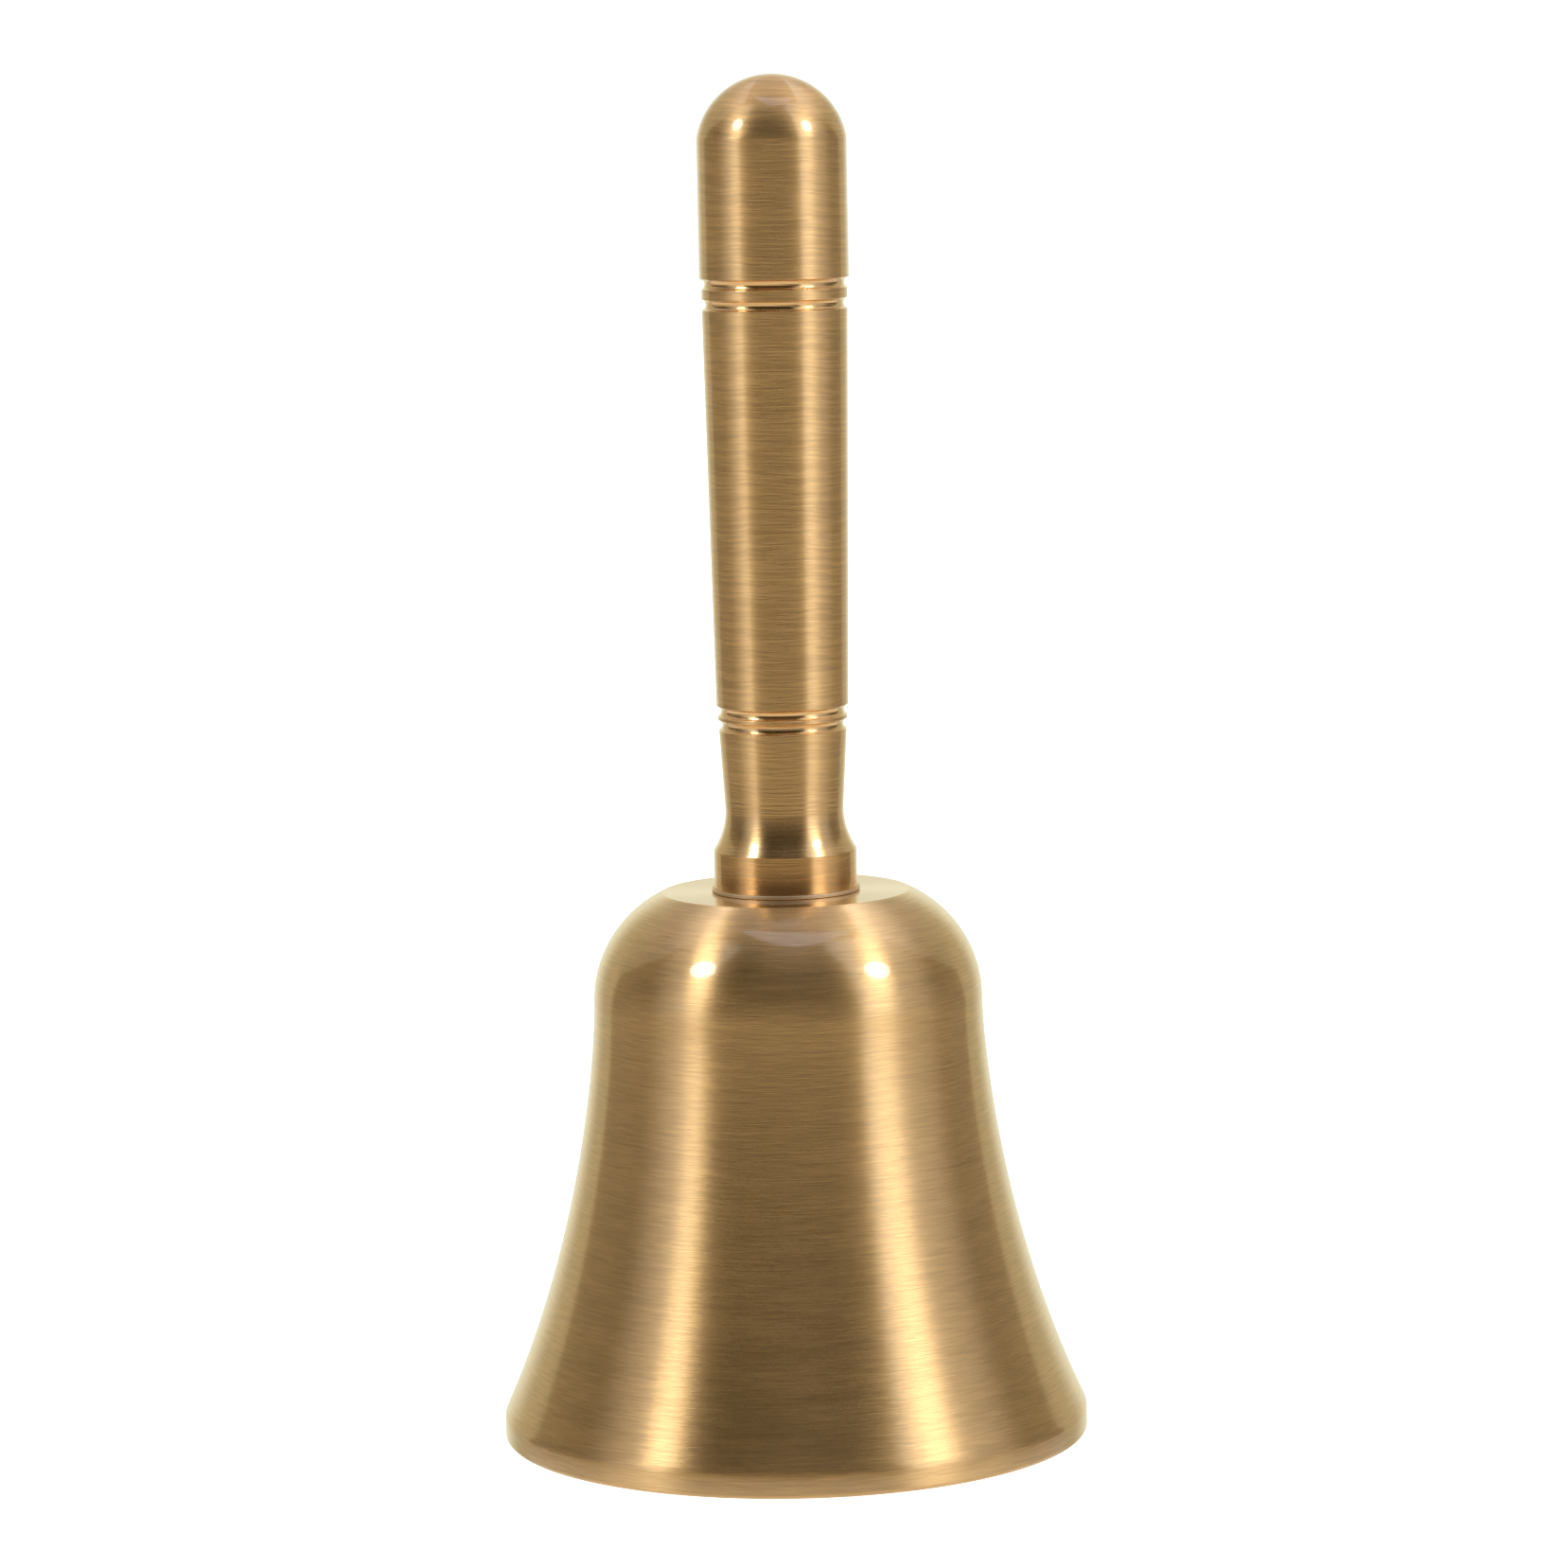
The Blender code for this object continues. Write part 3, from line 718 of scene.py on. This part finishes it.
class HANDBELL_OT_handle(Operator):
    """Make the turned handle"""

    bl_idname = "handbell.handle"
    bl_label = "Handle"

    def execute(self, context):
        sizes = context.scene.handbell_handle
        outline = softened(handle_outline(sizes), sizes.edge)
        bm = bmesh.new()
        spin_outline(bm, outline, sizes.facets, ends_meet=False)
        low, high = (sizes.top - sizes.dome_radius * depth for depth in DOME_BANDS)
        for face in bm.faces:
            height = face.calc_center_median().z
            share = (height - low) / (high - low)
            face.material_index = min(max(math.ceil(share * DOME_STEPS), 0), DOME_STEPS)
            if height < sizes.bottom + sizes.foot_height:
                face.material_index = DOME_STEPS + 1
        finish = context.scene.handbell_finish
        materials = [handle_brass(finish)] + [dome_brass(finish, step + 1) for step in range(DOME_STEPS)]
        materials.append(foot_brass(finish))
        finish_piece(bm, "handle_bar", "bell", ["handle"], materials)
        return {"FINISHED"}


# Washers, nut, stud, link and clapper


def ring_outline(outer, inner, bottom, top, edge):
    """A flat ring's section with rounded corners."""
    middle = (bottom + top) / 2
    corners = [(outer, bottom, 0.0), (inner, bottom, 0.0), (inner, top, 0.0), (outer, top, 0.0)]
    loop = [(outer, middle, 0.0), *corners, (outer, middle, 0.0)]
    return softened(loop, edge)[:-1]


def make_washer(name, node, inner, slot, material, edge, facets, drop=0.0):
    """A washer as large as its CAD node, let down by drop."""
    outline = ring_outline(reach_of(node), inner, bottom_of(node) - drop, top_of(node) - drop, edge)
    bm = bmesh.new()
    spin_outline(bm, outline, facets, ends_meet=True)
    finish_piece(bm, name, "bell", [node], [material])


class HANDBELL_OT_washers(Operator):
    """Make the crown washer, the flat washer and the split spring washer"""

    bl_idname = "handbell.washers"
    bl_label = "Washers"

    def execute(self, context):
        scene = context.scene
        sizes = scene.handbell_fittings
        bore = scene.handbell_bell.bore
        facets = scene.handbell_bell.facets
        # The crown washer's pale brass is a painted highlight
        brass = washer_brass(scene.handbell_finish)
        steel = fitting_steel(scene.handbell_finish)
        crown_washer = ("washer_at_crown", "crown_washer", bore, "handle_brass", brass)
        make_washer(*crown_washer, sizes.crown_washer_edge, facets, WASHER_DROP)
        make_washer("washer_flat", "flat_washer", bore, "plated_steel", steel, sizes.edge, WASHER_FACETS)

        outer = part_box("spring_washer")[1].y
        bottom = bottom_of("spring_washer")
        outline = ring_outline(outer, bore, bottom, top_of("spring_washer"), sizes.edge)
        bm = bmesh.new()
        opening = sizes.slit / outer
        spin_outline(bm, outline, SPLIT_FACETS, ends_meet=True, turn=math.tau - opening)
        bmesh.ops.rotate(bm, verts=bm.verts, cent=(0, 0, 0), matrix=Matrix.Rotation(opening / 2, 3, "Z"))
        bmesh.ops.holes_fill(bm, edges=[edge for edge in bm.edges if edge.is_boundary])
        finish_piece(bm, "washer_split", "bell", ["spring_washer"], [steel])
        return {"FINISHED"}


class HANDBELL_OT_nut(Operator):
    """Make the hexagon nut, with its corners turned off"""

    bl_idname = "handbell.nut"
    bl_label = "Nut"

    def execute(self, context):
        scene = context.scene
        sizes = scene.handbell_fittings
        half = sizes.nut_flats / 2
        top = top_of("clamp_nut")
        bottom = bottom_of("clamp_nut")
        bore = scene.handbell_bell.bore
        mouth = bore * 1.12
        face = half * 0.95  # inside this radius the nut's ends are flat
        corners = None  # stands for the six-sided outline
        rings = [(bore, top), (mouth, top), (face, top), (corners, top)]
        rings += [(corners, bottom), (face, bottom), (mouth, bottom), (bore, bottom)]
        bm = bmesh.new()
        loops = []
        for radius, height in rings:
            made = bmesh.ops.create_circle(bm, cap_ends=False, segments=NUT_FACETS, radius=1.0)["verts"]
            for vert in made:
                turn = math.atan2(vert.co.y, vert.co.x)
                side = math.fmod(turn + math.tau, math.pi / 3) - math.pi / 6
                reach = half / math.cos(side) if radius is corners else radius
                drop = max(reach - face, 0.0) * math.tan(sizes.nut_chamfer)
                if radius == bore:
                    drop += 0.25 * MM
                z = height - drop if height == top else height + drop
                vert.co = (reach * math.cos(turn), reach * math.sin(turn), z)
            loops.append(list({edge for vert in made for edge in vert.link_edges}))
        for first, second in zip(loops, loops[1:] + loops[:1]):
            bmesh.ops.bridge_loops(bm, edges=first + second)
        turned = Matrix.Rotation(sizes.nut_turn, 3, "Z")
        bmesh.ops.rotate(bm, verts=bm.verts, cent=(0, 0, 0), matrix=turned)
        steel = fitting_steel(scene.handbell_finish)
        finish_piece(bm, "nut", "bell", ["clamp_nut"], [steel])
        return {"FINISHED"}


def thread_mesh(sizes, core, bottom, turns):
    """A screw thread's ridge, sunk a little into the core it winds round."""
    half = sizes.thread_pitch * 0.44
    root = core - 0.1 * MM
    ridge = [
        (root, bottom + half * 2, 0.0),
        (sizes.thread_radius, bottom + half * 1.12, 0.0),
        (sizes.thread_radius, bottom + half * 0.88, 0.0),
        (root, bottom, 0.0),
    ]
    bm = bmesh.new()
    spin_outline(bm, ridge, THREAD_FACETS * turns, True, math.tau * turns, sizes.thread_pitch * turns)
    bmesh.ops.holes_fill(bm, edges=[edge for edge in bm.edges if edge.is_boundary])
    closed_mesh(bm)
    mesh = bpy.data.meshes.new("thread")
    bm.to_mesh(mesh)
    bm.free()
    return mesh


class HANDBELL_OT_stud(Operator):
    """Make the threaded stud with its closed eye"""

    bl_idname = "handbell.stud"
    bl_label = "Stud"

    def execute(self, context):
        scene = context.scene
        sizes = scene.handbell_fittings
        top = top_of("hanger_stud")
        eye = bottom_of("hanger_stud") + sizes.eye_ring + sizes.eye_wire
        core = sizes.thread_radius - sizes.thread_depth
        thread_end = bottom_of("clamp_nut") - 0.6 * MM
        neck_end = eye + sizes.eye_ring - sizes.eye_wire * 0.5
        outline = [
            (0.0, top, 0.0),
            (core - 0.3 * MM, top, 0.0),
            (core, top - 0.5 * MM, 0.0),
            (core, thread_end, 0.0),
            (sizes.eye_wire, neck_end + 0.4 * MM, 0.0),
            (sizes.eye_wire * 0.9, neck_end, 0.0),
            (0.0, neck_end, 0.0),
        ]
        bm = bmesh.new()
        spin_outline(bm, softened(outline, 0.2 * MM), ROD_FACETS, ends_meet=False)
        for vert in bm.verts:
            vert.tag = True
        wire_ring(bm, eye, sizes.eye_ring, sizes.eye_wire, 0.0)
        turns = round((top - thread_end) / sizes.thread_pitch) - 1
        thread = thread_mesh(sizes, core, thread_end, turns)
        bm.from_mesh(thread)
        bpy.data.meshes.remove(thread)
        steel = fitting_steel(scene.handbell_finish)
        finish_piece(bm, "stud", "bell", ["hanger_stud"], [steel])
        return {"FINISHED"}


class HANDBELL_OT_link(Operator):
    """Make the wire link between the two eyes"""

    bl_idname = "handbell.link"
    bl_label = "Link"

    def execute(self, context):
        sizes = context.scene.handbell_fittings
        centre = (top_of("hanger_link") + bottom_of("hanger_link")) / 2
        bm = bmesh.new()
        wire_ring(bm, centre, sizes.link_ring, sizes.link_wire, math.pi / 2, sizes.link_opening)
        steel = fitting_steel(context.scene.handbell_finish)
        finish_piece(bm, "link", "link", ["hanger_link"], [steel])
        return {"FINISHED"}


class HANDBELL_OT_clapper(Operator):
    """Make the clapper's rod with its eye, and its ball"""

    bl_idname = "handbell.clapper"
    bl_label = "Clapper"

    def execute(self, context):
        scene = context.scene
        sizes = scene.handbell_fittings
        finish = scene.handbell_finish
        brass = clapper_brass(finish)
        eye = top_of("clapper_rod") - sizes.clapper_ring - sizes.clapper_wire
        rod_top = eye - sizes.clapper_ring + sizes.clapper_wire * 0.4
        rod_bottom = bottom_of("clapper_rod")
        outline = [
            (0.0, rod_top, 0.0),
            (sizes.clapper_wire * 0.9, rod_top, 0.0),
            (sizes.clapper_wire * 0.9, rod_top - 0.6 * MM, 0.0),
            (sizes.rod_radius, rod_top - 2.0 * MM, 0.0),
            (sizes.rod_radius, rod_bottom, 0.0),
            (0.0, rod_bottom, 0.0),
        ]
        bm = bmesh.new()
        spin_outline(bm, softened(outline, 0.1 * MM), ROD_FACETS, ends_meet=False)
        for vert in bm.verts:
            vert.tag = True
        wire_ring(bm, eye, sizes.clapper_ring, sizes.clapper_wire, 0.0)
        finish_piece(bm, "clapper_shank", "clapper", ["clapper_rod"], [brass])

        bottom = bottom_of("clapper_ball")
        centre = (0.0, bottom + sizes.ball_radius)
        bore = sizes.rod_radius + sizes.ball_gap
        start = math.acos(bore / sizes.ball_radius)
        bore_end = rod_bottom - sizes.ball_gap
        ball = [(0.0, bore_end, 0.0), (bore, bore_end, 0.0)]
        ball += arc(centre, sizes.ball_radius, start, -math.pi / 2, 60)
        ball[-1] = (0.0, bottom, 0.0)
        bm = bmesh.new()
        spin_outline(bm, softened(ball, 0.15 * MM), BALL_FACETS, ends_meet=False)
        finish_piece(bm, "clapper_head", "clapper", ["clapper_ball"], [brass])
        return {"FINISHED"}


# Stage


def towards(azimuth, elevation, distance, centre):
    """A place seen from centre at an azimuth from the front, positive to the right, in degrees."""
    a = math.radians(azimuth)
    e = math.radians(elevation)
    away = Vector((math.sin(a) * math.cos(e), -math.cos(a) * math.cos(e), math.sin(e)))
    return centre + away * distance


def add_lamp(name, place, centre, width, brightness):
    """A round area lamp that faces centre. Brightness is how bright its face looks."""
    data = bpy.data.lights.new(name, "AREA")
    data.shape = "DISK"
    data.size = width
    area = math.pi / 4 * width**2
    data.energy = brightness * area * math.pi
    lamp = bpy.data.objects.new(name, data)
    lamp.location = place
    lamp.rotation_euler = (centre - place).to_track_quat("-Z", "Y").to_euler()
    bpy.context.scene.collection.objects.link(lamp)


# The studio round the bell is painted by direction: across to the right, along to the back, and up

SIDE_LAMPS = (("lamp_left", -63.0, 38.0), ("lamp_right", 64.0, 34.0))  # azimuth and elevation, in degrees
LEFT_SOFTBOX = (52.0, 94.0)  # inner edge and end of the fade, in degrees from the front
RIGHT_SOFTBOX = (44.0, 95.0)
SOFTBOX_BLUR = math.radians(4.5)  # half the width of a softbox's inner edge
RIGHT_SHIFT = math.radians(9.0)  # how much further out the right softbox's arch lies
RIGHT_BRIGHTNESS = 1.35
TABLE_LIGHT = (0.86, 0.78, 0.65, 1.0)
LOW_WALL = (0.10, 0.088, 0.07, 1.0)
HIGH_WALL = (0.016, 0.012, 0.009, 1.0)
CEILING = (0.22, 0.20, 0.165, 1.0)
LOW_SHEET = (0.50, 0.465, 0.315, 1.0)
HIGH_SHEET = (0.60, 0.535, 0.48, 1.0)
MIDDLE_SHEET = (0.88, 0.87, 0.66, 1.0)
PANEL_LIGHT = (1.15, 1.16, 1.38, 1.0)
PLAIN_WHITE = (1.0, 1.0, 1.0, 1.0)


def dim_room(nodes, up):
    """A bright table low down, then a wall that darkens upwards, then a dim ceiling."""
    wall = nodes.mix_colour(nodes.remap(up, 0.05, 0.4, smooth=True), LOW_WALL, HIGH_WALL)
    room = nodes.mix_colour(nodes.remap(up, 0.78, 0.98, smooth=True), wall, CEILING)
    above_table = nodes.remap(up, -0.3, -0.17, smooth=True)
    return nodes.mix_colour(above_table, TABLE_LIGHT, room)


def cream_sheet(nodes, along, up):
    """The colour of the sheet, brightest straight behind the bell, and a mask for where it hangs."""
    cream = nodes.mix_colour(nodes.remap(up, 0.3, 0.85, smooth=True), LOW_SHEET, HIGH_SHEET)
    cream = nodes.mix_colour(nodes.remap(along, 0.75, 0.98, smooth=True), cream, MIDDLE_SHEET)
    behind = nodes.math("ADD", along, nodes.math("MULTIPLY", up, 0.25))
    behind = nodes.math("ADD", behind, nodes.remap(up, 0.16, 0.53, 0.0, 0.3))
    return cream, nodes.remap(behind, 0.57, 0.62, smooth=True)


def softbox(nodes, azimuth, inner, outer):
    """A tall soft lamp's brightness by azimuth: a crisp inner edge, then a fade to a low glow."""
    edge = math.radians(inner)
    rise = nodes.remap(azimuth, edge - SOFTBOX_BLUR, edge + SOFTBOX_BLUR, smooth=True)
    fade = nodes.remap(azimuth, edge, math.radians(outer), 1.0, 0.03, smooth=True)
    return nodes.math("MULTIPLY", rise, fade)


def side_softboxes(nodes, across, along, up):
    """The glow of two tall soft lamps, upright in front and arching over towards the back."""
    azimuth = nodes.math("ARCTAN2", across, nodes.math("MULTIPLY", along, -1.0))
    over = nodes.math("MULTIPLY", nodes.math("ARCTAN2", across, nodes.math("SUBTRACT", 1.0, along)), 2.0)
    arch = nodes.remap(along, -0.35, 0.05, smooth=True)
    bend = nodes.math("MULTIPLY", nodes.math("SUBTRACT", over, azimuth), arch)
    azimuth = nodes.math("ADD", azimuth, bend)
    left = softbox(nodes, nodes.math("MULTIPLY", azimuth, -1.0), *LEFT_SOFTBOX)
    outwards = nodes.math("MULTIPLY", arch, RIGHT_SHIFT)
    right = softbox(nodes, nodes.math("SUBTRACT", azimuth, outwards), *RIGHT_SOFTBOX)
    both = nodes.math("ADD", left, nodes.math("MULTIPLY", right, RIGHT_BRIGHTNESS))
    both = nodes.math("MULTIPLY", both, nodes.remap(up, 0.05, 0.5, 1.0, 0.84))
    low_end = nodes.remap(up, -0.4, 0.1, smooth=True)
    back_end = nodes.remap(along, 0.55, 0.9, 1.0, 0.0, smooth=True)
    glow = nodes.math("MULTIPLY", both, nodes.math("MULTIPLY", low_end, back_end))
    return nodes.add("ShaderNodeCombineColor", {0: glow, 1: glow, 2: glow}).outputs[0]


def ceiling_panel(nodes, across, along, up):
    """A mask for an oval panel overhead, a little in front, with its ends swept back."""
    middle = (0.06, -0.174)  # across and along
    half_width = 0.35
    half_depth = 0.145
    aside = nodes.math("SUBTRACT", across, middle[0])
    square = nodes.math("MULTIPLY", aside, aside)
    swept = nodes.math("SUBTRACT", along, nodes.math("MULTIPLY", square, 2.0))
    depth = nodes.math("DIVIDE", nodes.math("SUBTRACT", swept, middle[1]), half_depth)
    oval = nodes.math("SUBTRACT", 1.0, nodes.math("MULTIPLY", depth, depth))
    oval = nodes.math("SUBTRACT", oval, nodes.math("DIVIDE", square, half_width**2))
    inside = nodes.remap(oval, 0.0, 0.1, smooth=True)
    return nodes.math("MULTIPLY", inside, nodes.remap(up, 0.0, 0.1))


def make_world(scene):
    """The studio as the bell mirrors it. The camera itself sees plain white."""
    world = bpy.data.worlds.new("Studio")
    world.use_nodes = True
    scene.world = world
    world.node_tree.nodes.clear()
    nodes = Nodes(world.node_tree)
    way = nodes.add("ShaderNodeTexCoord").outputs["Generated"]
    across, along, up = nodes.add("ShaderNodeSeparateXYZ", {0: way}).outputs
    cream, sheet = cream_sheet(nodes, along, up)
    seen = nodes.mix_colour(sheet, dim_room(nodes, up), cream)
    seen = nodes.mix_colour(1.0, seen, side_softboxes(nodes, across, along, up), "ADD")
    seen = nodes.mix_colour(ceiling_panel(nodes, across, along, up), seen, PANEL_LIGHT)
    studio = nodes.add("ShaderNodeBackground", {"Color": seen})
    plain = nodes.add("ShaderNodeBackground", {"Color": PLAIN_WHITE})
    camera_ray = nodes.add("ShaderNodeLightPath").outputs["Is Camera Ray"]
    mixed = nodes.add("ShaderNodeMixShader", {0: camera_ray, 1: studio.outputs[0], 2: plain.outputs[0]})
    nodes.add("ShaderNodeOutputWorld", {"Surface": mixed.outputs[0]})


def floor_material():
    """Pale, and seen only by the camera from above. Reflections and views from below pass through."""
    material, nodes, shader = new_material("Pale floor")
    shader.inputs["Base Color"].default_value = (0.9, 0.9, 0.9, 1.0)
    shader.inputs["Roughness"].default_value = 0.9
    shader.inputs["Specular IOR Level"].default_value = 0.0
    shader.inputs["Emission Color"].default_value = PLAIN_WHITE
    shader.inputs["Emission Strength"].default_value = 1.2
    clear = nodes.add("ShaderNodeBsdfTransparent")
    camera_ray = nodes.add("ShaderNodeLightPath").outputs["Is Camera Ray"]
    below = nodes.add("ShaderNodeNewGeometry").outputs["Backfacing"]
    shown = nodes.math("MULTIPLY", camera_ray, nodes.math("SUBTRACT", 1.0, below))
    mixed = nodes.add("ShaderNodeMixShader", {0: shown, 1: clear.outputs[0], 2: shader.outputs[0]})
    nodes.put(material.node_tree.nodes["Material Output"].inputs["Surface"], mixed.outputs[0])
    return material


def make_floor(stage):
    bm = bmesh.new()
    bmesh.ops.create_circle(bm, cap_ends=True, segments=96, radius=stage.floor_radius)
    bmesh.ops.translate(bm, verts=bm.verts, vec=(0.0, 0.0, -stage.floor_drop))
    for face in bm.faces:
        if face.normal.z < 0.0:
            face.normal_flip()
    mesh = bpy.data.meshes.new("floor")
    bm.to_mesh(mesh)
    bm.free()
    mesh.materials.append(floor_material())
    floor = bpy.data.objects.new("floor", mesh)
    bpy.context.scene.collection.objects.link(floor)


def make_camera(stage):
    data = bpy.data.cameras.new("camera")
    data.lens = stage.lens
    data.sensor_width = 36.0
    data.clip_start = 0.01
    data.clip_end = 20.0
    camera = bpy.data.objects.new("camera", data)
    place = Vector((0.0, -stage.camera_distance, stage.camera_height))
    aim = Vector((0.0, 0.0, stage.aim_height))
    turn = (aim - place).to_track_quat("-Z", "Y").to_matrix().to_4x4()
    camera.matrix_world = Matrix.Translation(place) @ turn @ Matrix.Rotation(-stage.camera_roll, 4, "Z")
    bpy.context.scene.collection.objects.link(camera)
    bpy.context.scene.camera = camera


class HANDBELL_OT_stage(Operator):
    """Make the studio, the floor, the camera and the side lamps"""

    bl_idname = "handbell.stage"
    bl_label = "Stage"

    def execute(self, context):
        scene = context.scene
        stage = scene.handbell_stage
        scene.view_settings.view_transform = "Standard"
        make_world(scene)
        make_floor(stage)
        make_camera(stage)
        centre = Vector((0.0, 0.0, stage.lamp_aim))
        for name, azimuth, elevation in SIDE_LAMPS:
            place = towards(azimuth, elevation, stage.lamp_distance, centre)
            add_lamp(name, place, centre, stage.lamp_width, stage.lamp_brightness)
        return {"FINISHED"}


# Panel and registration


PIECE_OPERATORS = (
    HANDBELL_OT_bell,
    HANDBELL_OT_handle,
    HANDBELL_OT_washers,
    HANDBELL_OT_nut,
    HANDBELL_OT_stud,
    HANDBELL_OT_link,
    HANDBELL_OT_clapper,
    HANDBELL_OT_stage,
)

SETTINGS = (
    ("handbell_bell", BellSizes, "Bell"),
    ("handbell_handle", HandleSizes, "Handle"),
    ("handbell_fittings", FittingSizes, "Fittings"),
    ("handbell_finish", Finish, "Finish"),
    ("handbell_stage", StageSizes, "Stage"),
)


class HANDBELL_PT_panel(Panel):
    """The hand bell's pieces and sizes"""

    bl_idname = "HANDBELL_PT_panel"
    bl_label = "Hand Bell"
    bl_space_type = "VIEW_3D"
    bl_region_type = "UI"
    bl_category = "Hand Bell"

    def draw(self, context):
        for operator in PIECE_OPERATORS:
            self.layout.operator(operator.bl_idname)
        for attribute, group, label in SETTINGS:
            box = self.layout.box()
            box.label(text=label)
            for name in group.__annotations__:
                box.prop(getattr(context.scene, attribute), name)


def register():
    for attribute, group, _ in SETTINGS:
        bpy.utils.register_class(group)
        setattr(bpy.types.Scene, attribute, PointerProperty(type=group))
    for operator in PIECE_OPERATORS:
        bpy.utils.register_class(operator)
    bpy.utils.register_class(HANDBELL_PT_panel)


def unregister():
    bpy.utils.unregister_class(HANDBELL_PT_panel)
    for operator in reversed(PIECE_OPERATORS):
        bpy.utils.unregister_class(operator)
    for attribute, group, _ in reversed(SETTINGS):
        delattr(bpy.types.Scene, attribute)
        bpy.utils.unregister_class(group)


def main():
    register()
    bpy.ops.handbell.bell()
    bpy.ops.handbell.handle()
    bpy.ops.handbell.washers()
    bpy.ops.handbell.nut()
    bpy.ops.handbell.stud()
    bpy.ops.handbell.link()
    bpy.ops.handbell.clapper()
    bpy.ops.handbell.stage()


if __name__ == "__main__":
    main()
